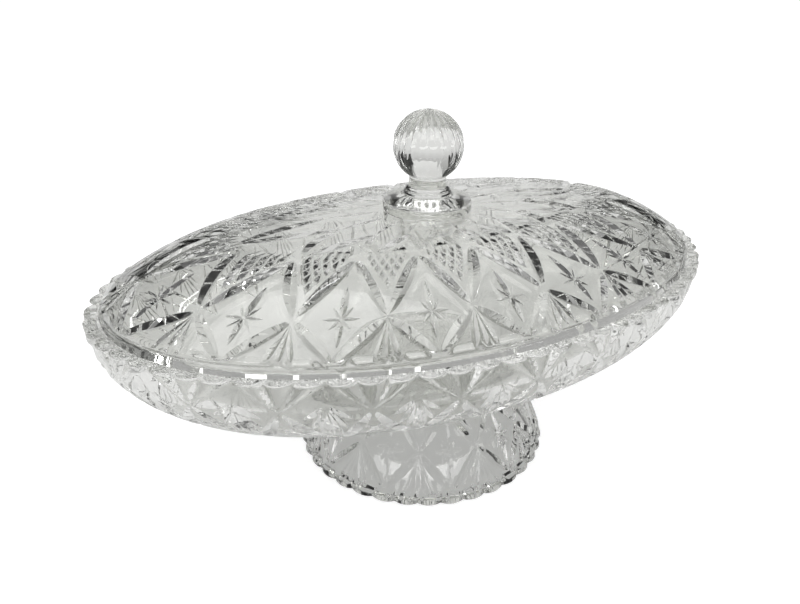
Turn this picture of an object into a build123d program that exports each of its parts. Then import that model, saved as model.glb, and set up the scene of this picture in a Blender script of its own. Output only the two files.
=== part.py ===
from build123d import *
import os
from math import atan2, cos, hypot, pi, sin, sqrt

os.makedirs("parts", exist_ok=True)

# Covered oval dish of clear pressed glass: a footed bowl with a scalloped rim and a domed lid
# that lifts straight off by a ball knob. Millimetres, Z up, origin at the middle of the foot's base.

# Foot: a hollow bell with a scalloped base edge
foot_height = 43.5
foot_base_radius = 60.8
foot_top_radius = 36.0
foot_bulge = 2.6
foot_wall = 5.0
foot_cap = 7.0
foot_scallop_depth = 1.6
foot_edge_flare = 0.9
foot_repeats = 12
foot_start_share = 0.5

# Bowl: an oval dish on the foot's top, with a flat step inside the rim for the lid
# (bowl_turn is how far the side turns from upright at the rim towards level at the base, in radians)
bowl_height = 48.0
rim_half_length = 145.0
rim_half_width = 93.5
bowl_base_half_length = 80.0
bowl_base_half_width = 38.0
bowl_wall = 5.0
bowl_floor = 6.0
bowl_turn = 1.45
rim_width = 5.0
rim_scallop_depth = 3.3
rim_flare = 0.8
rim_repeats = 24
ledge_width = 4.5
ledge_depth = 1.5

# Lid: an upright plain lip, a domed side up to an oval ridge, and a flatter crown with a seat on top
lid_clearance = 0.9
lip_height = 4.4
dome_rise = 19.6
crown_rise = 3.0
ridge_half_length = 88.0
ridge_half_width = 38.5
ridge_bead_radius = 0.8
lid_wall = 5.0
lid_repeats = 18
leaf_count = 18
dome_roundness = 0.88
crown_roundness = 0.5

# Knob: a disc on the crown, a flared neck and a ball with round flutes that fade out at its poles
disc_radius = 19.7
disc_thickness = 4.6
disc_dome = 2.6
disc_edge_radius = 1.0
collar_radius = 10.6
neck_radius = 8.4
neck_height = 8.0
neck_curve_radius = 24.0
ball_radius = 15.4
flute_count = 18
flute_depth = 0.6
flute_radius = 3.4
flute_sweep = 15.6
flute_arc = 150
flute_step = 360 / flute_count

# Mitre cuts: straight V grooves along the edges of the diamonds on the lid, the bowl and the foot, and
# along the leaves on the crown (the shares are the places of a diamond's lower tip, side corners and upper
# tip on the height of its band, and of a leaf's tip and foot on the way from the ridge to the seat)
mitre_depth = 1.4
mitre_height = 5.0
mitre_half_width = 7.0
lid_diamond_shares = (0.03, 0.33, 0.965)
bowl_diamond_shares = (0.56, 0.16, 0.01)
foot_diamond_shares = (0.14, 0.5, 0.86)
leaf_shares = (0.06, 0.62)

# Shared by all pieces
scallops_per_repeat = 3
pattern_start_share = 0.4
cut_overrun = 4.0

# Levels at which the round sides are drawn, as shares of the way from the rim to the flat part
side_level_shares = (0, 0.2, 0.4, 0.6, 0.8, 1)

# Heights that the stacked pieces share
rim_z = foot_height + bowl_height
ledge_z = rim_z - ledge_depth
lip_top_z = ledge_z + lip_height
ridge_z = lip_top_z + dome_rise
seat_z = ridge_z + crown_rise

# How far in from the scallop crests the ledge and the lid's lip lie
ledge_inset = rim_width
bowl_mouth_inset = rim_width + ledge_width
lip_inset = ledge_inset + lid_clearance


def oval(half_length, half_width, z):
    """A level oval face at height z."""
    return Pos(0, 0, z) * Ellipse(half_length, half_width)


def oval_prism(half_length, half_width, z, height):
    """An upright oval block standing on height z."""
    return extrude(oval(half_length, half_width, z), amount=height)


def even_angles(half_length, half_width, count, start_share):
    """Angles of an oval's points that are evenly spaced along its edge, the first one that share of a
    step past the +X end."""
    step_count = 720
    angles = [2 * pi * i / step_count for i in range(step_count + 1)]
    lengths = [0.0]
    for before, after in zip(angles, angles[1:]):
        across = half_length * (cos(after) - cos(before))
        along = half_width * (sin(after) - sin(before))
        lengths.append(lengths[-1] + hypot(across, along))
    spaced = []
    i = 0
    for k in range(count):
        target = lengths[-1] * (k + start_share) / count
        while lengths[i + 1] < target:
            i += 1
        part = (target - lengths[i]) / (lengths[i + 1] - lengths[i])
        spaced.append(angles[i] + part * (angles[i + 1] - angles[i]))
    return spaced


def scalloped_face(half_length, half_width, depth, repeats, start_share):
    """A level face at height 0 whose edge is a ring of round scallops, a cusp at each repeat's start."""
    count = repeats * scallops_per_repeat
    cusp_share = start_share * scallops_per_repeat % 1
    cusps = even_angles(half_length, half_width, count, cusp_share)
    crest_share = (cusp_share + 1 / 2) % 1
    crests = even_angles(half_length, half_width, count, crest_share)
    if crests[0] > cusps[0]:
        cusps = cusps[1:] + cusps[:1]
    arcs = []
    for k in range(count):
        arcs.append(
            ThreePointArc(
                ((half_length - depth) * cos(cusps[k - 1]), (half_width - depth) * sin(cusps[k - 1])),
                (half_length * cos(crests[k]), half_width * sin(crests[k])),
                ((half_length - depth) * cos(cusps[k]), (half_width - depth) * sin(cusps[k])),
            )
        )
    return make_face(arcs)


def straight_mitre(start, middle, end, outward, overrun):
    """A V-shaped cutter whose bottom edge runs straight, below a surface that bulges from start to end."""
    run = (end - start).normalized()
    outward = (outward - run * outward.dot(run)).normalized()
    bulge = (middle - (start + end) / 2).dot(outward)
    sink = max(mitre_depth - bulge, 0)
    section = Plane(start - outward * sink - run * overrun, outward, run)
    corners = ((0, 0), (mitre_height, mitre_half_width), (mitre_height, -mitre_half_width))
    face = section * make_face(Polyline(*corners, close=True))
    return extrude(face, amount=(end - start).length + 2 * overrun, dir=run)


def outward_at(surface, angle, share):
    """The direction square to a surface at one of its points, away from the middle of the dish."""
    step = 0.01
    around = surface(angle + step, share) - surface(angle - step, share)
    up = surface(angle, share + step) - surface(angle, share - step)
    square = around.cross(up).normalized()
    here = surface(angle, share)
    return square if square.dot(Vector(here.X, here.Y, 0)) > 0 else square * -1


def diamond_mitres(surface, half_length, half_width, repeats, start_share, shares):
    """Cutters for a row of diamonds, evenly spaced along an oval, each touching its neighbours."""
    tips = even_angles(half_length, half_width, repeats, start_share)
    corners = even_angles(half_length, half_width, repeats, (start_share + 1 / 2) % 1)
    if corners[0] < tips[0]:
        corners = corners[1:] + corners[:1]
    bottom_share, side_share, top_share = shares
    cutters = []
    for k in range(repeats):
        for corner in (corners[k - 1], corners[k]):
            turn = (corner - tips[k] + pi) % (2 * pi) - pi
            for tip_share in (bottom_share, top_share):
                middle_angle = tips[k] + turn / 2
                middle_share = (tip_share + side_share) / 2
                tip = surface(tips[k], tip_share)
                middle = surface(middle_angle, middle_share)
                side = surface(corner, side_share)
                outward = outward_at(surface, middle_angle, middle_share)
                cutters.append(straight_mitre(tip, middle, side, outward, cut_overrun))
    return cutters


def make_foot():
    """The bell-shaped foot: hollow below, closed by a flat cap that carries the bowl."""

    def bell(base_radius, top_radius, bottom_z, top_z):
        middle_radius = (base_radius + top_radius) / 2 + foot_bulge
        middle_z = (bottom_z + top_z) / 2
        side = ThreePointArc((base_radius, bottom_z), (middle_radius, middle_z), (top_radius, top_z))
        closing = Polyline((top_radius, top_z), (0, top_z), (0, bottom_z), (base_radius, bottom_z))
        return revolve(Plane.XZ * make_face([side, closing]), Axis.Z)

    outside = bell(foot_base_radius + foot_edge_flare, foot_top_radius, 0, foot_height)
    edge = scalloped_face(foot_base_radius, foot_base_radius, foot_scallop_depth, foot_repeats, 0)
    hollow = bell(foot_base_radius - foot_wall, foot_top_radius - foot_wall, 0, foot_height - foot_cap)

    def side_point(angle, share):
        slope = foot_top_radius - foot_base_radius - foot_edge_flare
        radius = foot_base_radius + foot_edge_flare + slope * share + 4 * foot_bulge * share * (1 - share)
        return Vector(radius * cos(angle), radius * sin(angle), foot_height * share)

    foot = outside & extrude(edge, amount=foot_height, dir=(0, 0, 1))
    foot -= hollow
    return foot - diamond_mitres(
        side_point, foot_base_radius, foot_base_radius, foot_repeats, foot_start_share, foot_diamond_shares
    )


def make_bowl():
    """The oval bowl: round sides, a flat base on the foot, a scalloped rim and a ledge for the lid."""

    def side_level(share, rim_inset, base_inset, bottom_z):
        out = 1 - (1 - cos(share * bowl_turn)) / (1 - cos(bowl_turn))
        down = sin(share * bowl_turn) / sin(bowl_turn)
        long_out = rim_half_length - rim_inset - bowl_base_half_length + base_inset
        wide_out = rim_half_width - rim_inset - bowl_base_half_width + base_inset
        half_length = bowl_base_half_length - base_inset + long_out * out
        half_width = bowl_base_half_width - base_inset + wide_out * out
        return half_length, half_width, rim_z - (rim_z - bottom_z) * down

    def side(rim_inset, base_inset, bottom_z):
        levels = [side_level(share, rim_inset, base_inset, bottom_z) for share in side_level_shares]
        return loft([oval(*level) for level in levels])

    def side_point(angle, share):
        half_length, half_width, z = side_level(share, 0, 0, foot_height)
        return Vector(half_length * cos(angle), half_width * sin(angle), z)

    edge = scalloped_face(
        rim_half_length, rim_half_width, rim_scallop_depth, rim_repeats, pattern_start_share
    )
    bowl = side(-rim_flare, 0, foot_height) & extrude(edge, amount=rim_z, dir=(0, 0, 1))
    bowl -= side(bowl_mouth_inset, bowl_wall, foot_height + bowl_floor)
    bowl -= oval_prism(
        rim_half_length - ledge_inset, rim_half_width - ledge_inset, ledge_z, ledge_depth + cut_overrun
    )
    return bowl - diamond_mitres(
        side_point, rim_half_length, rim_half_width, rim_repeats, pattern_start_share, bowl_diamond_shares
    )


def make_lid():
    """The lid: a plain lip on the bowl's ledge, a domed side, a ridge and a crown with a flat seat."""
    lip_half_length = rim_half_length - lip_inset
    lip_half_width = rim_half_width - lip_inset

    def dome_level(share, inset):
        half_length = lip_half_length - inset + (ridge_half_length - lip_half_length) * share
        half_width = lip_half_width - inset + (ridge_half_width - lip_half_width) * share
        rise_share = share * (1 + dome_roundness * (1 - share))
        return half_length, half_width, lip_top_z + (dome_rise - inset) * rise_share

    def dome_point(angle, share):
        half_length, half_width, z = dome_level(share, 0)
        return Vector(half_length * cos(angle), half_width * sin(angle), z)

    def crown_level(share, inset):
        half_length = ridge_half_length - inset + (disc_radius - ridge_half_length + inset) * share
        half_width = ridge_half_width - inset + (disc_radius - ridge_half_width + inset) * share
        rise_share = share * (1 + crown_roundness * (1 - share))
        return half_length, half_width, ridge_z - inset + crown_rise * rise_share

    def crown_point(turn, share):
        half_length, half_width, z = crown_level(share, 0)
        angle = atan2(half_length * sin(turn), half_width * cos(turn))
        return Vector(half_length * cos(angle), half_width * sin(angle), z)

    def leaf_mitres():
        tip_share, foot_share = leaf_shares
        cutters = []
        for k in range(leaf_count):
            for side in (-1 / 2, 1 / 2):
                tip = crown_point(2 * pi * k / leaf_count, tip_share)
                middle = crown_point(2 * pi * (k + side / 2) / leaf_count, (tip_share + foot_share) / 2)
                foot = crown_point(2 * pi * (k + side) / leaf_count, foot_share)
                cutters.append(straight_mitre(tip, middle, foot, Vector(0, 0, 1), 0))
        return cutters

    def shell(inset, bottom_z):
        dome = [oval(*dome_level(share, inset)) for share in side_level_shares]
        crown = [oval(*crown_level(share, inset)) for share in side_level_shares]
        lip = oval_prism(
            lip_half_length - inset, lip_half_width - inset, bottom_z, lip_top_z - bottom_z
        )
        return lip + loft(dome) + loft(crown)

    path = oval(ridge_half_length, ridge_half_width, ridge_z).edge()
    start = Plane((ridge_half_length, 0, ridge_z), (1, 0, 0), (0, 1, 0))
    bead = sweep(start * Circle(ridge_bead_radius), path=path)

    lid = shell(0, ledge_z) + bead
    lid -= shell(lid_wall, ledge_z - cut_overrun)
    lid -= leaf_mitres()
    return lid - diamond_mitres(
        dome_point, ridge_half_length, ridge_half_width, lid_repeats, pattern_start_share, lid_diamond_shares
    )


def make_knob():
    """The knob: a domed disc on the lid's seat, a neck that flares out to it, and a fluted ball."""
    shoulder_z = seat_z + disc_thickness
    dome_z = shoulder_z + disc_dome
    neck_top_z = dome_z + neck_height
    ball_z = neck_top_z + sqrt(ball_radius**2 - neck_radius**2)

    outline = [
        Polyline((0, ball_z), (0, seat_z), (disc_radius, seat_z), (disc_radius, shoulder_z)),
        Line((disc_radius, shoulder_z), (collar_radius, dome_z)),
        RadiusArc((collar_radius, dome_z), (neck_radius, neck_top_z), neck_curve_radius),
        Polyline((neck_radius, neck_top_z), (neck_radius, ball_z), (0, ball_z)),
    ]
    profile = make_face(outline)
    shoulder = profile.vertices().sort_by_distance((disc_radius, shoulder_z))[0]
    stand = revolve(Plane.XZ * fillet(shoulder, disc_edge_radius), Axis.Z)

    ball = Rot(0, 0, flute_step / 2) * Sphere(ball_radius)
    tube = Pos(flute_sweep + flute_radius, 0, 0) * Circle(flute_radius)
    wheel = Rot(0, -flute_arc / 2, 0) * revolve(tube, Axis.Y, revolution_arc=flute_arc)
    wheel = Pos(ball_radius - flute_depth - flute_sweep, 0, 0) * wheel
    for k in range(flute_count):
        ball -= Rot(0, 0, flute_step * k) * wheel
    return stand + Pos(0, 0, ball_z) * ball


pieces = {
    "foot": make_foot(),
    "bowl": make_bowl(),
    "lid": make_lid(),
    "knob": make_knob(),
}

for name, piece in pieces.items():
    export_step(piece, f"parts/{name}.step")
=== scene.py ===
from collections import namedtuple
from math import atan2, cos, pi, radians, sin, sqrt

import bpy
import bmesh
import numpy as np
from mathutils import Matrix, Vector


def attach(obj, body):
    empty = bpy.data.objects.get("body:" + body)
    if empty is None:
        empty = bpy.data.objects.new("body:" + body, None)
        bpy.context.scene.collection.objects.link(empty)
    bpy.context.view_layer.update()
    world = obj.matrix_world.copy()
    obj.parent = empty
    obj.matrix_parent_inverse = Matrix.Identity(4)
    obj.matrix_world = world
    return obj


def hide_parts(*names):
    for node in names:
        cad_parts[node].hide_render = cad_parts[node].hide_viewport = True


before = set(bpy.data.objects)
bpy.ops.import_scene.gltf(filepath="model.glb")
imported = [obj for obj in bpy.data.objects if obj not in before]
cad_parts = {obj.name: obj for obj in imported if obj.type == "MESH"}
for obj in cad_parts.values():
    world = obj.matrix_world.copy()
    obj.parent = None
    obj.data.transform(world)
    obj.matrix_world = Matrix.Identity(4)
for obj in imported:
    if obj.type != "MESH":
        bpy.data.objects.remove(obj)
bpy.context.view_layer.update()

# Covered oval dish of clear pressed glass: a footed bowl, and a domed lid with a ball knob.
# Sizes are in millimetres in the frame's own axes, and meshes are scaled to metres when they are made.
# A place on a piece is a turn, counted in repeats of the pattern from the front, and a share of the way
# along its side: down the foot and the bowl, and up the lid. On the crown it is an angle and a share.
# The hairline is the gap left between pieces that stand on one another.
mm = 0.001
upward = Vector((0, 0, 1))
hairline = 0.04

# Foot
foot_height = 43.5
foot_base_radius = 60.8
foot_top_radius = 36
foot_bulge = 2.6
foot_wall = 5
foot_cap = 7
foot_edge_round = 0.8
foot_inside_step = 2
foot_inside_radii = (30, 20, 10)
foot_top_ring_shares = (0.3, 0.6, 0.85)
foot_side_steps = 26
foot_last_drop = 0.985
foot_inner_first, foot_inner_span, foot_inner_steps = 0.93, 0.76, 13
foot_repeats = 12
foot_steps_per_repeat = 36
foot_scallop_depth = 1.6
foot_scallop_start = 0.8

# Foot pattern
foot_diamond_top = 0.14
foot_diamond_middle = 0.5
foot_diamond_bottom = 0.86
foot_chevron_drop, foot_chevron_reach = 0.37, 0.72
foot_small_chevron_drop, foot_small_chevron_reach, foot_small_chevron_rise = 0.26, 0.40, 0.02
foot_star_top = 0.22
foot_star_bottom = 0.80
foot_star_rays = ((0.24, 0), (-0.24, 0), (0.12, 0.11), (-0.12, 0.11), (0.12, -0.10), (-0.12, -0.10))
foot_fan_gap = 0.04
foot_fan_bottom = 0.90
foot_fan_turns = (0, -0.12, 0.12, -0.24, 0.24)

# Bowl (bowl_turn is how far the side turns from upright at the rim towards level at the base, in radians)
bowl_height = 48
rim_half_length = 145
rim_half_width = 93.5
bowl_base_half_length = 80
bowl_base_half_width = 38
bowl_wall = 5
bowl_floor = 6
bowl_turn = 1.45
bowl_repeats = 24
bowl_steps_per_repeat = 36
bowl_base_ring_shares = (0.25, 0.5, 0.75)
bowl_floor_ring_shares = (0.7, 0.45, 0.2)
bowl_fine_drop, bowl_last_drop = 0.2, 0.013
bowl_coarse_steps, bowl_fine_steps = 20, 13
bowl_inner_first, bowl_inner_span, bowl_inner_steps = 0.05, 0.88, 17
rim_scallop_depth = 3.3
scallops_per_repeat = 3
rim_round = 0.9
rim_round_steps = 5
ledge_inset = 5
ledge_depth = 1.5
mouth_inset = 9.5
mouth_end = 0.5

# Bowl pattern
hob_top = 0.02
hob_centre = 0.11
hob_bottom = 0.56
hob_upper_degrees = (0, 25, 48, 70, 110, 132, 155, 180)
hob_upper_reach, hob_upper_rise = 0.31, 0.085
hob_lower_degrees = (22, 45, 67, 90, 113, 135, 158)
hob_lower_gap, hob_lower_reach = 0.01, 0.30
fan_origin = 0.16
petal_end, petal_least_width = 0.17, 1e-6
slash_start_turn, slash_start_gap = 0.12, 0.13
slash_end_turn, slash_end_drop = 0.14, 0.42

# Lid
lid_half_length = 139.1
lid_half_width = 87.6
lip_height = 4.4
lip_round = 1.4
lip_half = 2.0
lip_tilt = 80
lip_steps = 12
lip_inside_inset, lip_inside_rise = 5.2, 1.0
lip_foot_inset = 4.8
dome_rise = 19.6
dome_roundness = 0.88
dome_first, dome_span, dome_steps = 0.03, 0.945, 17
ridge_half_length = 88
ridge_half_width = 38.5
crown_rise = 3
crown_roundness = 0.5
crown_steps = 13
seat_radius = 20
lid_wall = 5
lid_inner_crown_span, lid_inner_crown_steps = 0.94, 8
lid_inner_dome_first, lid_inner_dome_span, lid_inner_dome_steps = 0.93, 0.9, 15
lid_repeats = 18
lid_steps_per_repeat = 14

# Lid pattern (a star's ray has its reach in turns and shares, and its width)
pattern_turn = -0.1
diamond_bottom = 0.03
diamond_middle = 0.33
diamond_top = 0.965
hatch_count = 7
hatch_gap = 0.04
hatch_margin, hatch_overrun, hatch_spread = 0.02, 0.01, 0.97
hatch_depth = 1.0
star_rays = ((0, 0.30, 2.8), (0, -0.21, 2.6), (0.21, 0, 1.6), (-0.21, 0, 1.6),
             (0.12, 0.10, 1.4), (-0.12, 0.10, 1.4), (0.12, -0.08, 1.4), (-0.12, -0.08, 1.4))
star_slope = 1.4
lid_fan_turns = (0, -0.12, 0.12)
lid_fan_gap, lid_fan_clearance = 0.02, 0.005
leaf_count = 18
leaf_tip = 0.03
leaf_valley = 0.62
stem_overlap = 0.02
stem_end = 0.98

# Knob (the edges and the collar are drawn as steps out and up from a corner of its outline)
disc_radius = 19.7
disc_thickness = 4.6
disc_dome = 2.6
disc_dome_share, disc_dome_power, disc_dome_steps = 0.92, 1.6, 7
disc_shoulder = 0.9
disc_lower_edge = ((-0.7, hairline), (-0.2, 0.2), (0, 0.7))
disc_upper_edge = ((0, -1.0), (-0.25, -0.35), (-disc_shoulder, 0))
collar_radius = 10.6
collar_flare = 0.3
collar_steps = ((0.05, 0.25), (0, 0.8), (-0.2, 1.3), (-0.7, 1.55), (-0.75, 2.2), (-1.0, 2.7), (-1.5, 2.95))
collar_height = 3.0
neck_radius = 8.4
neck_inset = 1.6
neck_waist = 0.5
neck_steps = 9
ball_radius = 15.4
ball_z = 145.1
ball_steps = 39
ball_pole_gap = 0.03
ball_pole_dip = 0.05
flute_count = 18
flute_depth = 0.8
flute_roundness = 0.8
flute_start = 0.6
flute_fade = 0.9
steps_per_flute = 12

# Cutters: how far they stand above the surface, and the soft edges that they leave
groove_steps = 10
groove_lift = 0.5
groove_end_rise = 0.03
groove_end_shoulder = 0.02
pit_lift = 0.4
edge_depth = 0.13
edge_slope = 3.4
crease_degrees = 25
normal_reach = 0.01

# Depth along a groove
blunt_power = 0.6
ray_peak, ray_power = 0.35, 0.9
fan_gain, fan_power = 1.1, 8

# Heights that the stacked pieces share
rim_z = foot_height + bowl_height
bowl_floor_z = foot_height + bowl_floor
ledge_z = rim_z - ledge_depth
lip_top_z = ledge_z + lip_height
ridge_z = lip_top_z + dome_rise
seat_z = ridge_z + crown_rise

# Glass
glass_colour = (0.82, 0.825, 0.805)
glass_roughness = 0.01
glass_ior = 1.5
wave_scale, wave_detail = 90, 1
wave_strength, wave_distance = 0.07, 0.0004

# Stage, in metres and watts
aim = Vector((0, 0, 0.08))
floor_size = (30, 30)
floor_place = (0, 0, -0.0005)
floor_tone = 0.5
floor_roughness = 0.9
floor_glow = (("Is Camera Ray", 0.8), ("Is Glossy Ray", 0.3), ("Is Transmission Ray", 0.4))
room_tones = ((0.0, 0.6), (0.25, 0.45), (0.55, 0.45), (0.75, 0.25), (1.0, 0.25))
card_tone = 0.01
card_size = (1.1, 0.9)
card_places = (("card_back", (-0.4, 0.95, 0.5)), ("card_right", (0.95, 0.2, 0.5)))
tube_degrees = (110, 150, 195, 240, 285, 330)
tube_distance, tube_height, tube_size, tube_power = 0.8, 1.0, (0.62, 0.015), 0.3
low_window_degrees = (215, 250, 285)
low_window_distance, low_window_height, low_window_size, low_window_power = 1, 0.2, (0.63, 0.12), 1.0
softbox_place, softbox_size, softbox_power = (-0.2, -0.1, 1.7), (1.6, 1.6), 15.5
back_window_place, back_window_size, back_window_power = (0.55, 0.85, 0.55), (0.8, 0.8), 0.75

# Camera, where the photograph was taken from
elevation, azimuth, roll = radians(24.99), radians(-29.05), radians(1.41)
distance, focal_px = 0.33225, 710.72
centre_x, centre_y = 425.11, 282.61
image_width, image_height = 800, 604
sensor_width = 36
clip_start = 0.01
bounces = 40


# Ovals, stations round them, and the four pressed surfaces

def station_angles(half_length, half_width, repeats, offset=0.0):
    """Turns a place counted in repeats from the front into an angle, evenly along the oval."""
    rounds_each_way, samples = 2, 4000
    reach = 2 * pi * rounds_each_way
    angles = np.linspace(-pi / 2 - reach, -pi / 2 + reach, 2 * rounds_each_way * samples + 1)
    steps = np.hypot(half_length * np.diff(np.cos(angles)), half_width * np.diff(np.sin(angles)))
    run = np.concatenate([[0.0], np.cumsum(steps)])
    front = run[rounds_each_way * samples]
    pitch = run[-1] / (2 * rounds_each_way) / repeats
    return lambda turn: float(np.interp(front + (turn + offset) * pitch, run, angles))


lid_angle = station_angles(ridge_half_length, ridge_half_width, lid_repeats, pattern_turn)
rim_angle = station_angles(rim_half_length, rim_half_width, bowl_repeats, 0.5 + pattern_turn)
foot_angle = station_angles(1, 1, foot_repeats)


def between(low, high, share):
    return low + (high - low) * share


def lid_surface(turn, rise):
    angle = lid_angle(turn)
    z = lip_top_z + dome_rise * rise * (1 + dome_roundness * (1 - rise))
    return Vector((between(lid_half_length, ridge_half_length, rise) * cos(angle),
                   between(lid_half_width, ridge_half_width, rise) * sin(angle), z))


def crown_surface(angle, share):
    z = ridge_z + crown_rise * share * (1 + crown_roundness * (1 - share))
    return Vector((between(ridge_half_length, seat_radius, share) * cos(angle),
                   between(ridge_half_width, seat_radius, share) * sin(angle), z))


def bowl_surface(turn, drop):
    angle = rim_angle(turn)
    out = 1 - (1 - cos(drop * bowl_turn)) / (1 - cos(bowl_turn))
    z = rim_z - bowl_height * (sin(drop * bowl_turn) / sin(bowl_turn))
    return Vector((between(bowl_base_half_length, rim_half_length, out) * cos(angle),
                   between(bowl_base_half_width, rim_half_width, out) * sin(angle), z))


def foot_surface(turn, drop):
    angle = foot_angle(turn)
    radius = between(foot_top_radius, foot_base_radius, drop) + 4 * foot_bulge * drop * (1 - drop)
    return Vector((radius * cos(angle), radius * sin(angle), foot_height * (1 - drop)))


def sideways(point):
    """Level direction from the dish's axis to a point."""
    return Vector((point.x, point.y, 0))


def outward(surface, along, across, away):
    """Unit normal of a surface at a place, on the side of the given direction."""
    step = 1e-3
    side = surface(along + step, across) - surface(along - step, across)
    rise = surface(along, across + step) - surface(along, across - step)
    normal = side.cross(rise).normalized()
    return normal if normal.dot(away) > 0 else -normal


def lobe(turn, depth, pitch):
    """Inset of a scalloped edge: round lobes that meet in cusps."""
    half = pitch / 2
    radius = (half * half + depth * depth) / (2 * depth)
    x = ((turn * scallops_per_repeat) % 1.0 - 0.5) * pitch
    return radius - sqrt(max(radius * radius - x * x, 0.0))


# Closed meshes: rings joined into a skin, and cutters that follow a surface

def mesh_object(name, points, faces):
    mesh = bpy.data.meshes.new(name)
    mesh.from_pydata([tuple(Vector(p) * mm) for p in points], [], faces)
    bm = bmesh.new()
    bm.from_mesh(mesh)
    bmesh.ops.recalc_face_normals(bm, faces=bm.faces)
    bm.to_mesh(mesh)
    bm.free()
    made = bpy.data.objects.new(name, mesh)
    bpy.context.scene.collection.objects.link(made)
    return made


def skin(name, first_pole, rings, last_pole):
    """A closed skin from one pole through the rings to the other pole."""
    count = len(rings[0])
    points = [first_pole] + [p for ring in rings for p in ring] + [last_pole]
    last = len(points) - 1
    last_ring = 1 + (len(rings) - 1) * count
    faces = []
    for j in range(count):
        k = (j + 1) % count
        faces.append((0, 1 + k, 1 + j))
        faces.append((last, last_ring + j, last_ring + k))
        for i in range(len(rings) - 1):
            base = 1 + i * count
            faces.append((base + j, base + k, base + count + k, base + count + j))
    return mesh_object(name, points, faces)


def lens(s):
    return sin(pi * s)


def blunt_lens(s):
    return sin(pi * s) ** blunt_power


def ray(s):
    """Deepest about a third of the way out, pointed at both ends."""
    if s < ray_peak:
        return (s / ray_peak) * (2 - s / ray_peak)
    return (1 - ((s - ray_peak) / (1 - ray_peak)) ** 2) ** ray_power


def fan_ray(s):
    """Widens steadily and then runs out."""
    return fan_gain * s * (1 - s ** fan_power)


# V grooves: set width, half of it over the set depth, and how the depth changes along the groove
Groove = namedtuple("Groove", "width slope profile")
lid_upper_mitre = Groove(5.2, 1.5, blunt_lens)
lid_lower_mitre = Groove(5.0, 1.5, blunt_lens)
lid_fan_groove = Groove(3.4, 1.5, fan_ray)
leaf_groove = Groove(6.4, 4.2, blunt_lens)
stem_groove = Groove(2.2, 1.9, lens)
bowl_upper_mitre = Groove(3.2, 1.5, blunt_lens)
bowl_lower_mitre = Groove(5.0, 1.4, blunt_lens)
hob_upper_ray = Groove(1.4, 0.6, ray)
hob_lower_ray = Groove(3.4, 1.4, ray)
petal_groove = Groove(1.8, 1.5, lens)
slash_groove = Groove(2.2, 1.5, blunt_lens)
foot_upper_mitre = Groove(3.6, 1.15, blunt_lens)
foot_lower_mitre = Groove(4.2, 1.15, blunt_lens)
foot_chevron = Groove(2.4, 1.5, blunt_lens)
foot_small_chevron = Groove(2.0, 1.5, blunt_lens)
foot_upper_ray = Groove(3.0, 1.5, ray)
foot_lower_ray = Groove(3.2, 1.5, ray)
foot_side_ray = Groove(2.4, 1.4, ray)
foot_fan_groove = Groove(2.6, 1.5, fan_ray)


def grooves(surface, lines, groove, away=None):
    """Wedges for grooves with softened edges, one for each line on the surface."""
    points, faces = [], []
    depth = groove.width / 2 / groove.slope
    shares = [i / groove_steps for i in range(groove_steps + 1)]
    for (a0, b0), (a1, b1) in lines:
        places = [(between(a0, a1, s), between(b0, b1, s)) for s in shares]
        path = [surface(a, b) for a, b in places]
        base = len(points)
        for i, (a, b) in enumerate(places):
            ahead = path[min(i + 1, groove_steps)] - path[max(i - 1, 0)]
            normal = outward(surface, a, b, sideways(path[i]) if away is None else away)
            side = ahead.cross(normal).normalized()
            sink = depth * groove.profile(shares[i]) - groove_end_rise
            shoulder = min(edge_depth, sink - groove_end_shoulder)
            inner = (sink - shoulder) * groove.slope
            outer = inner + (groove_lift + shoulder) * edge_slope
            outline = ((-sink, 0), (-shoulder, inner), (groove_lift, outer),
                       (groove_lift, -outer), (-shoulder, -inner))
            points += [path[i] + normal * height + side * half for height, half in outline]
        corners = len(outline)
        last = base + corners * groove_steps
        faces.append(tuple(base + u for u in reversed(range(corners))))
        faces.append(tuple(last + u for u in range(corners)))
        for i in range(groove_steps):
            p = base + corners * i
            for u in range(corners):
                v = (u + 1) % corners
                faces.append((p + u, p + v, p + corners + v, p + corners + u))
    return points, faces


def groove_groups(surface):
    """An empty list of cutters for a surface, and the call that adds grooves to it."""
    groups = []

    def add(lines, groove):
        groups.append(grooves(surface, lines, groove))

    return groups, add


def pits(surface, cells, depth):
    """One pointed pit for each cell of the surface, with a softened rim."""
    points, faces = [], []
    for corners in cells:
        count = len(corners)
        rim = len(points) + 1
        brim = rim + count
        middle = (sum(a for a, b in corners) / count, sum(b for a, b in corners) / count)
        centre = surface(*middle)
        normal = outward(surface, *middle, sideways(centre))
        edges = [surface(*corner) for corner in corners]
        rim_share = edge_depth * edge_slope / min((edge - centre).length for edge in edges)
        points.append(centre - normal * depth)
        points += [between(edge, centre, rim_share) - normal * edge_depth for edge in edges]
        brim_share = -rim_share * pit_lift / edge_depth
        points += [between(edge, centre, brim_share) + normal * pit_lift for edge in edges]
        faces.append(tuple(brim + u for u in reversed(range(count))))
        for u in range(count):
            v = (u + 1) % count
            faces.append((rim - 1, rim + u, rim + v))
            faces.append((rim + u, brim + u, brim + v, rim + v))
    return points, faces


def discard(spare):
    """Removes an object and its mesh."""
    mesh = spare.data
    bpy.data.objects.remove(spare)
    bpy.data.meshes.remove(mesh)


def settle(body):
    """Replaces a body's mesh by what its modifiers make of it."""
    graph = bpy.context.evaluated_depsgraph_get()
    result = bpy.data.meshes.new_from_object(body.evaluated_get(graph))
    body.modifiers.clear()
    old = body.data
    body.data = result
    bpy.data.meshes.remove(old)


def cut(body, cutters):
    """Takes each group of cutters out of the body in turn."""
    for points, faces in cutters:
        tool = mesh_object("cutter", points, faces)
        change = body.modifiers.new("cut", "BOOLEAN")
        change.operation = "DIFFERENCE"
        change.solver = "MANIFOLD"
        change.object = tool
        settle(body)
        discard(tool)


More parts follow.
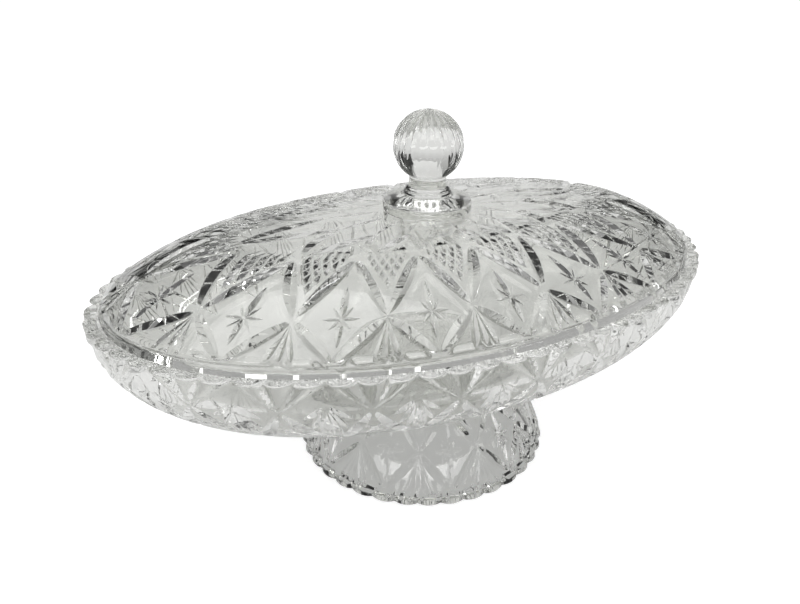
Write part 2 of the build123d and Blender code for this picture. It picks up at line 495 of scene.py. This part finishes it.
def smooth(body):
    """Round faces shade as round, and edges sharper than the crease stay sharp."""
    for polygon in body.data.polygons:
        polygon.use_smooth = True
        polygon.material_index = 0
    body.data.set_sharp_from_angle(angle=radians(crease_degrees))
    level = body.modifiers.new("level", "WEIGHTED_NORMAL")
    level.keep_sharp = True


def press(body, cutters):
    """Cuts a body and keeps the uncut form's own normals wherever its skin is left."""
    plain = body.copy()
    plain.data = body.data.copy()
    bpy.context.scene.collection.objects.link(plain)
    smooth(plain)
    settle(plain)
    cut(body, cutters)
    smooth(body)
    keep = body.modifiers.new("keep", "DATA_TRANSFER")
    keep.object = plain
    keep.use_loop_data = True
    keep.data_types_loops = {"CUSTOM_NORMAL"}
    keep.loop_mapping = "POLYINTERP_NEAREST"
    keep.use_max_distance = True
    keep.max_distance = normal_reach * mm
    settle(body)
    discard(plain)


# The lid

def lid_base():
    count = lid_repeats * lid_steps_per_repeat
    turns = [j * lid_repeats / count for j in range(count)]
    angles = [lid_angle(t) for t in turns]

    def ring(inset, z):
        half_length, half_width = lid_half_length - inset, lid_half_width - inset
        return [Vector((half_length * cos(a), half_width * sin(a), z)) for a in angles]

    rings = []
    for i in range(lip_steps + 1):
        tilt = radians(between(-lip_tilt, lip_tilt, i / lip_steps))
        rise = lip_half * (1 + sin(tilt) / sin(radians(lip_tilt)))
        rings.append(ring(lip_round * (1 - cos(tilt)), ledge_z + hairline + rise))
    for i in range(dome_steps + 1):
        rise = dome_first + dome_span * i / dome_steps
        rings.append([lid_surface(t, rise) for t in turns])
    rings += [[crown_surface(a, i / crown_steps) for a in angles] for i in range(crown_steps + 1)]
    inner = []
    for i in range(lid_inner_crown_steps + 1):
        share = 1 - lid_inner_crown_span * i / lid_inner_crown_steps
        inner.append([crown_surface(a, share) - upward * lid_wall for a in angles])
    for i in range(lid_inner_dome_steps + 1):
        rise = lid_inner_dome_first - lid_inner_dome_span * i / lid_inner_dome_steps
        inner.append([lid_surface(t, rise) - outward(lid_surface, t, rise, upward) * lid_wall for t in turns])
    inner += [ring(lip_inside_inset, ledge_z + lip_inside_rise), ring(lip_foot_inset, ledge_z + hairline)]
    return skin("lid_visual", Vector((0, 0, seat_z)), list(reversed(rings)) + list(reversed(inner)),
                Vector((0, 0, seat_z - lid_wall)))


def hatch_place(k, p, q):
    """A place in the triangle above a crossing, by its shares along the two diamond edges."""
    rise = diamond_top + hatch_overrun - diamond_middle
    return (k + 0.5 + 0.5 * (q - p), diamond_middle + hatch_margin + rise * (p + q) * hatch_spread)


def hatch_cells(k):
    """The cells of one hatched triangle, each by its four corners."""
    low, high = hatch_gap, 1 - hatch_gap
    corners = ((low, low), (high, low), (high, high), (low, high))
    return [[hatch_place(k, (p + u) / hatch_count, (q + v) / hatch_count) for u, v in corners]
            for p in range(1, hatch_count) for q in range(1, hatch_count - p)]


def lid_cutters():
    stations = range(lid_repeats)
    groups, add = groove_groups(lid_surface)
    for way in (-0.5, 0.5):
        add([((k + 0.5, diamond_middle), (k + 0.5 + way, diamond_top)) for k in stations], lid_upper_mitre)
        add([((k + 0.5, diamond_middle), (k + 0.5 + way, diamond_bottom)) for k in stations], lid_lower_mitre)
    groups.append(pits(lid_surface, [cell for k in stations for cell in hatch_cells(k)], hatch_depth))
    for turn, rise, width in star_rays:
        add([((k, diamond_middle), (k + turn, diamond_middle + rise)) for k in stations],
            Groove(width, star_slope, ray))
    fan_top, fan_bottom = diamond_middle - lid_fan_gap, diamond_bottom + lid_fan_clearance
    for turn in lid_fan_turns:
        add([((k + 0.5, fan_top), (k + 0.5 + turn, fan_bottom)) for k in stations], lid_fan_groove)
    return groups


def crown_angle(polar, share):
    """The angle on the crown's oval, at a share of the way up, of the point in a polar direction."""
    half_length = between(ridge_half_length, seat_radius, share)
    half_width = between(ridge_half_width, seat_radius, share)
    angle = atan2(half_length * sin(polar), half_width * cos(polar))
    return angle + 2 * pi * round((polar - angle) / (2 * pi))


def crown_cutters():
    step = 2 * pi / leaf_count
    leaves = range(leaf_count)
    groups = []
    for way in (-0.5, 0.5):
        lines = [((crown_angle(k * step, leaf_tip), leaf_tip),
                  (crown_angle((k + way) * step, leaf_valley), leaf_valley)) for k in leaves]
        groups.append(grooves(crown_surface, lines, leaf_groove, upward))
    lines = [((crown_angle((k + 0.5) * step, leaf_valley), leaf_valley - stem_overlap),
              (crown_angle((k + 0.5) * step, stem_end), stem_end)) for k in leaves]
    groups.append(grooves(crown_surface, lines, stem_groove, upward))
    return groups


# The bowl

def bowl_base():
    count = bowl_repeats * bowl_steps_per_repeat
    turns = [j / bowl_steps_per_repeat for j in range(count)]
    angles = [rim_angle(t) for t in turns]
    edge = [bowl_surface(t, 0) for t in turns]
    perimeter = sum((edge[j] - edge[j - 1]).length for j in range(count))
    pitch = perimeter / bowl_repeats / scallops_per_repeat

    def inset_at(turn, drop):
        """A fan's petals narrow towards its origin, and the flats between fans lie level with the cusps."""
        left = max(0.0, 1 - drop / petal_end)
        place = (turn % 1.0 - 0.5) / max(left, petal_least_width)
        return left * (lobe(place + 0.5, rim_scallop_depth, pitch) if abs(place) < 0.5 else rim_scallop_depth)

    insets = [inset_at(t, 0) for t in turns]

    def ring(inset, z, share=0.0):
        half_length, half_width = rim_half_length - inset, rim_half_width - inset
        return [Vector(((half_length - d * share) * cos(a), (half_width - d * share) * sin(a), z))
                for a, d in zip(angles, insets)]

    def base_ring(share, z):
        half_length, half_width = bowl_base_half_length * share, bowl_base_half_width * share
        return [Vector((half_length * cos(a), half_width * sin(a), z)) for a in angles]

    def side(drop):
        made = []
        for t, a in zip(turns, angles):
            d = inset_at(t, drop)
            made.append(bowl_surface(t, drop) - Vector((d * cos(a), d * sin(a), 0)))
        return made

    def inner_side(drop):
        extra = (mouth_inset - bowl_wall) * max(0.0, 1 - drop / mouth_end)
        made = []
        for t in turns:
            p = bowl_surface(t, drop)
            normal = outward(bowl_surface, t, drop, Vector((p.x, p.y, -1)))
            q = p - normal * bowl_wall - sideways(p).normalized() * extra
            made.append(Vector((q.x, q.y, max(q.z, bowl_floor_z))))
        return made

    rings = [base_ring(share, foot_height) for share in bowl_base_ring_shares]
    rings += [side(1 - (1 - bowl_fine_drop) * i / bowl_coarse_steps) for i in range(bowl_coarse_steps)]
    rings += [side(bowl_fine_drop - bowl_fine_drop * i / bowl_fine_steps) for i in range(bowl_fine_steps)]
    rings.append(side(bowl_last_drop))
    for i in range(1, rim_round_steps + 1):
        tilt = pi / 2 * i / rim_round_steps
        rings.append(ring(rim_round * (1 - cos(tilt)), rim_z - rim_round * (1 - sin(tilt)), 1))
    rings += [ring(ledge_inset, rim_z), ring(ledge_inset, ledge_z), ring(mouth_inset, ledge_z)]
    rings += [inner_side(bowl_inner_first + bowl_inner_span * i / bowl_inner_steps)
              for i in range(bowl_inner_steps + 1)]
    rings += [base_ring(share, bowl_floor_z) for share in bowl_floor_ring_shares]
    return skin("bowl_visual", Vector((0, 0, foot_height)), rings, Vector((0, 0, bowl_floor_z)))


def bowl_cutters():
    stations = range(bowl_repeats)
    groups, add = groove_groups(bowl_surface)
    for way in (-0.5, 0.5):
        add([((k, hob_top), (k + way, fan_origin)) for k in stations], bowl_upper_mitre)
        add([((k + way, fan_origin), (k, hob_bottom)) for k in stations], bowl_lower_mitre)
    for degrees in hob_upper_degrees:
        reach = hob_upper_reach * cos(radians(degrees))
        rise = hob_upper_rise * sin(radians(degrees))
        add([((k, hob_centre), (k + reach, hob_centre - rise)) for k in stations], hob_upper_ray)
    start = hob_centre + hob_lower_gap
    for degrees in hob_lower_degrees:
        reach = hob_lower_reach * cos(radians(degrees))
        fall = hob_lower_reach * sin(radians(degrees))
        add([((k, start), (k + reach, hob_centre + fall)) for k in stations], hob_lower_ray)
    for way in (-1, 1):
        cusp = way / (2 * scallops_per_repeat)
        add([((k + 0.5, fan_origin), (k + 0.5 + cusp, hob_top)) for k in stations], petal_groove)
        add([((k + 0.5 - way * slash_start_turn, fan_origin + slash_start_gap),
              (k + 0.5 + way * slash_end_turn, slash_end_drop)) for k in stations], slash_groove)
    return groups


# The foot

def foot_base():
    count = foot_repeats * foot_steps_per_repeat
    turns = [j / foot_steps_per_repeat for j in range(count)]
    angles = [foot_angle(t) for t in turns]
    pitch = 2 * pi * foot_base_radius / foot_repeats / scallops_per_repeat
    insets = [lobe(t, foot_scallop_depth, pitch) for t in turns]

    def flat(radius, z, share=0.0):
        return [Vector(((radius - d * share) * cos(a), (radius - d * share) * sin(a), z))
                for a, d in zip(angles, insets)]

    def side(drop):
        share = max(0.0, (drop - foot_scallop_start) / (1 - foot_scallop_start))
        return [p - sideways(p).normalized() * d * share
                for p, d in zip([foot_surface(t, drop) for t in turns], insets)]

    def inner_side(drop):
        made = []
        for t, a in zip(turns, angles):
            normal = outward(foot_surface, t, drop, Vector((cos(a), sin(a), 0)))
            made.append(foot_surface(t, drop) - normal * foot_wall)
        return made

    rings = [flat(foot_top_radius * share, foot_height) for share in foot_top_ring_shares]
    rings += [side(i / foot_side_steps) for i in range(foot_side_steps)] + [side(foot_last_drop)]
    rings.append(flat(foot_base_radius - foot_edge_round, 0, 1))
    rings.append(flat(foot_base_radius - foot_wall - foot_inside_step, 0))
    rings += [inner_side(foot_inner_first - foot_inner_span * i / foot_inner_steps)
              for i in range(foot_inner_steps + 1)]
    top_z, inside_z = foot_height - hairline, foot_height - foot_cap
    rings = [[Vector((p.x, p.y, min(p.z, top_z))) for p in r] for r in rings]
    rings += [flat(radius, inside_z) for radius in foot_inside_radii]
    return skin("foot_visual", Vector((0, 0, top_z)), rings, Vector((0, 0, inside_z)))


def foot_cutters():
    stations = range(foot_repeats)
    groups, add = groove_groups(foot_surface)
    top, middle, bottom = foot_diamond_top, foot_diamond_middle, foot_diamond_bottom
    small_end = top - foot_small_chevron_rise
    for way in (-0.5, 0.5):
        add([((k, middle), (k + way, top)) for k in stations], foot_upper_mitre)
        add([((k, middle), (k + way, bottom)) for k in stations], foot_lower_mitre)
        add([((k, foot_chevron_drop), (k + way * foot_chevron_reach, top)) for k in stations], foot_chevron)
        add([((k, foot_small_chevron_drop), (k + way * foot_small_chevron_reach, small_end))
             for k in stations], foot_small_chevron)
    add([((k + 0.5, middle), (k + 0.5, foot_star_top)) for k in stations], foot_upper_ray)
    add([((k + 0.5, middle), (k + 0.5, foot_star_bottom)) for k in stations], foot_lower_ray)
    for turn, drop in foot_star_rays:
        add([((k + 0.5, middle), (k + 0.5 + turn, middle + drop)) for k in stations], foot_side_ray)
    for turn in foot_fan_turns:
        add([((k, middle + foot_fan_gap), (k + turn, foot_fan_bottom)) for k in stations], foot_fan_groove)
    return groups


# The knob

def knob_base():
    count = flute_count * steps_per_flute
    angles = [2 * pi * j / count for j in range(count)]
    edge_z = seat_z + disc_thickness
    collar_z = edge_z + disc_dome * disc_dome_share
    profile = [(disc_radius + out, seat_z + up) for out, up in disc_lower_edge]
    profile += [(disc_radius + out, edge_z + up) for out, up in disc_upper_edge]
    for i in range(1, disc_dome_steps + 1):
        s = i / disc_dome_steps
        radius = between(disc_radius - disc_shoulder, collar_radius + collar_flare, s)
        profile.append((radius, edge_z + (collar_z - edge_z) * (1 - (1 - s) ** disc_dome_power)))
    profile += [(collar_radius + out, collar_z + up) for out, up in collar_steps]
    neck_z = collar_z + collar_height
    ball_low = ball_z - sqrt(ball_radius ** 2 - neck_radius ** 2)
    for i in range(1, neck_steps):
        s = i / neck_steps
        radius = between(collar_radius - neck_inset, neck_radius, s) - neck_waist * sin(pi * s)
        profile.append((radius, between(neck_z, ball_low, s)))
    rings = [[Vector((r * cos(a), r * sin(a), z)) for a in angles] for r, z in profile]
    start = -np.arccos(neck_radius / ball_radius)
    for i in range(ball_steps + 1):
        tilt = between(start, pi / 2 - ball_pole_gap, i / ball_steps)
        swell = cos(tilt * flute_fade) * min(1, max(0, (tilt + flute_start) / flute_start))
        made = []
        for a in angles:
            flute = abs(sin(a * flute_count / 2)) ** flute_roundness
            radius = ball_radius - flute_depth * (1 - flute) * swell
            level = radius * cos(tilt)
            made.append(Vector((level * cos(a), level * sin(a), ball_z + radius * sin(tilt))))
        rings.append(made)
    return skin("knob_visual", Vector((0, 0, seat_z + hairline)), rings,
                Vector((0, 0, ball_z + ball_radius - ball_pole_dip)))


# Glass, with the faint waves of a pressed surface

def glass(name):
    material = bpy.data.materials.new(name)
    material.use_nodes = True
    nodes, links = material.node_tree.nodes, material.node_tree.links
    shader = nodes["Principled BSDF"]
    shader.inputs["Base Color"].default_value = (*glass_colour, 1)
    shader.inputs["Transmission Weight"].default_value = 1
    shader.inputs["Roughness"].default_value = glass_roughness
    shader.inputs["IOR"].default_value = glass_ior
    place = nodes.new("ShaderNodeTexCoord")
    noise = nodes.new("ShaderNodeTexNoise")
    noise.inputs["Scale"].default_value = wave_scale
    noise.inputs["Detail"].default_value = wave_detail
    bump = nodes.new("ShaderNodeBump")
    bump.inputs["Strength"].default_value = wave_strength
    bump.inputs["Distance"].default_value = wave_distance
    links.new(place.outputs["Object"], noise.inputs["Vector"])
    links.new(noise.outputs["Fac"], bump.inputs["Height"])
    links.new(bump.outputs["Normal"], shader.inputs["Normal"])
    return material


pieces = (("lid", lid_base, lambda: lid_cutters() + crown_cutters(), "lid"),
          ("bowl", bowl_base, bowl_cutters, "dish"),
          ("foot", foot_base, foot_cutters, "dish"),
          ("knob", knob_base, list, "lid"))
for node, make, cutters, body in pieces:
    piece = make()
    press(piece, cutters())
    piece.data.materials.clear()
    piece.data.materials.append(glass(node + "_clear"))
    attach(piece, body)
    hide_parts(node)


# Stage: floor, world, dark cards, lights and camera

def stage_plane(name, size, location, rotation=(0, 0, 0)):
    half_x, half_y = size[0] / 2, size[1] / 2
    corners = [(-half_x, -half_y, 0), (half_x, -half_y, 0), (half_x, half_y, 0), (-half_x, half_y, 0)]
    mesh = bpy.data.meshes.new(name)
    mesh.from_pydata(corners, [], [(0, 1, 2, 3)])
    made = bpy.data.objects.new(name, mesh)
    made.location = location
    made.rotation_euler = rotation
    bpy.context.scene.collection.objects.link(made)
    return made


def matt(name, tone, roughness):
    """A grey material without gloss."""
    material = bpy.data.materials.new(name)
    material.use_nodes = True
    shader = material.node_tree.nodes["Principled BSDF"]
    shader.inputs["Base Color"].default_value = (tone, tone, tone, 1)
    shader.inputs["Roughness"].default_value = roughness
    shader.inputs["Specular IOR Level"].default_value = 0
    return material


def facing(location):
    """The rotation that turns a plane or lamp at a place towards the dish."""
    return (Vector(location) - aim).to_track_quat("Z", "Y").to_euler()


def soft_light(name, location, size, power):
    data = bpy.data.lights.new(name, "AREA")
    data.shape = "RECTANGLE"
    data.size, data.size_y = size
    data.energy = power
    made = bpy.data.objects.new(name, data)
    made.location = location
    made.rotation_euler = facing(location)
    bpy.context.scene.collection.objects.link(made)


def light_ring(name, places, radius, height, size, power):
    for degrees in places:
        turn = radians(degrees)
        soft_light(f"{name}_{degrees}", (radius * cos(turn), radius * sin(turn), height), size, power)


# The floor keeps the dish's shadow, and glows white to the camera and more faintly in the glass.
floor = stage_plane("floor", floor_size, floor_place)
paper = matt("white_paper", floor_tone, floor_roughness)
nodes, links = paper.node_tree.nodes, paper.node_tree.links
shader = nodes["Principled BSDF"]
shader.inputs["Emission Color"].default_value = (1, 1, 1, 1)
seen = nodes.new("ShaderNodeLightPath")
glow = None
for ray_kind, strength in floor_glow:
    share = nodes.new("ShaderNodeMath")
    share.operation = "MULTIPLY"
    share.inputs[1].default_value = strength
    links.new(seen.outputs[ray_kind], share.inputs[0])
    if glow:
        both = nodes.new("ShaderNodeMath")
        both.operation = "MAXIMUM"
        links.new(glow, both.inputs[0])
        links.new(share.outputs[0], both.inputs[1])
        glow = both.outputs[0]
    else:
        glow = share.outputs[0]
links.new(glow, shader.inputs["Emission Strength"])
floor.data.materials.append(paper)

# The room darkens upwards, and is white where the camera sees it.
world = bpy.data.worlds.new("room")
bpy.context.scene.world = world
world.use_nodes = True
nodes, links = world.node_tree.nodes, world.node_tree.links
nodes.clear()
direction = nodes.new("ShaderNodeTexCoord")
split = nodes.new("ShaderNodeSeparateXYZ")
links.new(direction.outputs["Generated"], split.inputs["Vector"])
ramp = nodes.new("ShaderNodeValToRGB")
stops = ramp.color_ramp.elements
for position, tone in room_tones:
    stops.new(position).color = (tone, tone, tone, 1)
stops.remove(stops[-1])
stops.remove(stops[0])
links.new(split.outputs["Z"], ramp.inputs["Fac"])
room = nodes.new("ShaderNodeBackground")
links.new(ramp.outputs["Color"], room.inputs["Color"])
white = nodes.new("ShaderNodeBackground")
white.inputs["Color"].default_value = (1, 1, 1, 1)
choice = nodes.new("ShaderNodeMixShader")
links.new(nodes.new("ShaderNodeLightPath").outputs["Is Camera Ray"], choice.inputs["Fac"])
links.new(room.outputs["Background"], choice.inputs[1])
links.new(white.outputs["Background"], choice.inputs[2])
out = nodes.new("ShaderNodeOutputWorld")
links.new(choice.outputs["Shader"], out.inputs["Surface"])

# The cards give the cuts their dark sides.
dark = matt("dark_card", card_tone, 1)
for name, location in card_places:
    card = stage_plane(name, card_size, location, facing(location))
    card.data.materials.append(dark)
    card.visible_camera = False
    card.visible_diffuse = False

light_ring("tube", tube_degrees, tube_distance, tube_height, tube_size, tube_power)
light_ring("low_window", low_window_degrees, low_window_distance, low_window_height, low_window_size,
           low_window_power)
soft_light("softbox", softbox_place, softbox_size, softbox_power)
soft_light("back_window", back_window_place, back_window_size, back_window_power)

back = Vector((sin(azimuth) * cos(elevation), -cos(azimuth) * cos(elevation), sin(elevation)))
right = Vector((cos(azimuth), sin(azimuth), 0))
up = back.cross(right)
right, up = right * cos(roll) + up * sin(roll), up * cos(roll) - right * sin(roll)
lens_data = bpy.data.cameras.new("camera")
lens_data.sensor_width = sensor_width
lens_data.lens = focal_px / image_width * sensor_width
lens_data.shift_x = (image_width / 2 - centre_x) / image_width
lens_data.shift_y = (centre_y - image_height / 2) / image_width
lens_data.clip_start = clip_start
camera = bpy.data.objects.new("camera", lens_data)
camera.matrix_world = Matrix((right, up, back)).transposed().to_4x4()
camera.location = aim + back * distance
bpy.context.scene.collection.objects.link(camera)
bpy.context.scene.camera = camera

settings = bpy.context.scene.cycles
settings.max_bounces = bounces
settings.transmission_bounces = bounces
settings.glossy_bounces = bounces
bpy.context.scene.view_settings.view_transform = "Standard"
